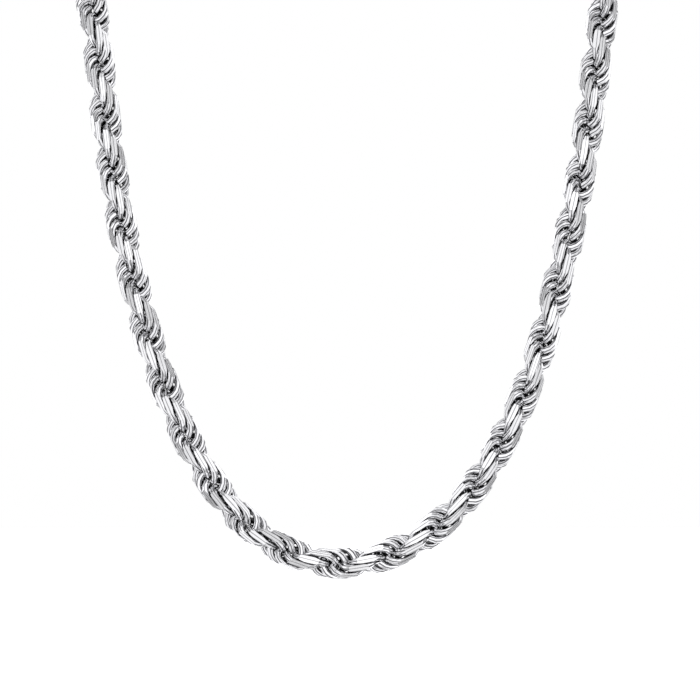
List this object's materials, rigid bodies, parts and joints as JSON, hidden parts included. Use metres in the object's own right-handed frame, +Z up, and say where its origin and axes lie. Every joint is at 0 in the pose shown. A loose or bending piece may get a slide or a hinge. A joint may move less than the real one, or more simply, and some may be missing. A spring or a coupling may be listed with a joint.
{
  "type": "rope chain necklace",
  "caption": "Twisted rope chain necklace of polished silver links with flat-cut outer faces, closed at the nape by end caps, jump rings and a plain clasp.",
  "frame": {"origin": "nape of the neck, on the chain's centre line at the clasp, where the worn chain hangs", "axes": "+Z up, -Y towards the wearer's front, X across the neck"},
  "size_m": [0.1161, 0.1383, 0.1636],
  "materials": {
    "silver": "bright polished silver, mirror-flat where the links are cut"
  },
  "bodies": {
    "root": {"rope": "silver", "end_cap_left": "silver", "end_cap_right": "silver", "jump_ring_left": "silver", "jump_ring_right": "silver", "clasp": "silver"}
  },
  "joints": []
}
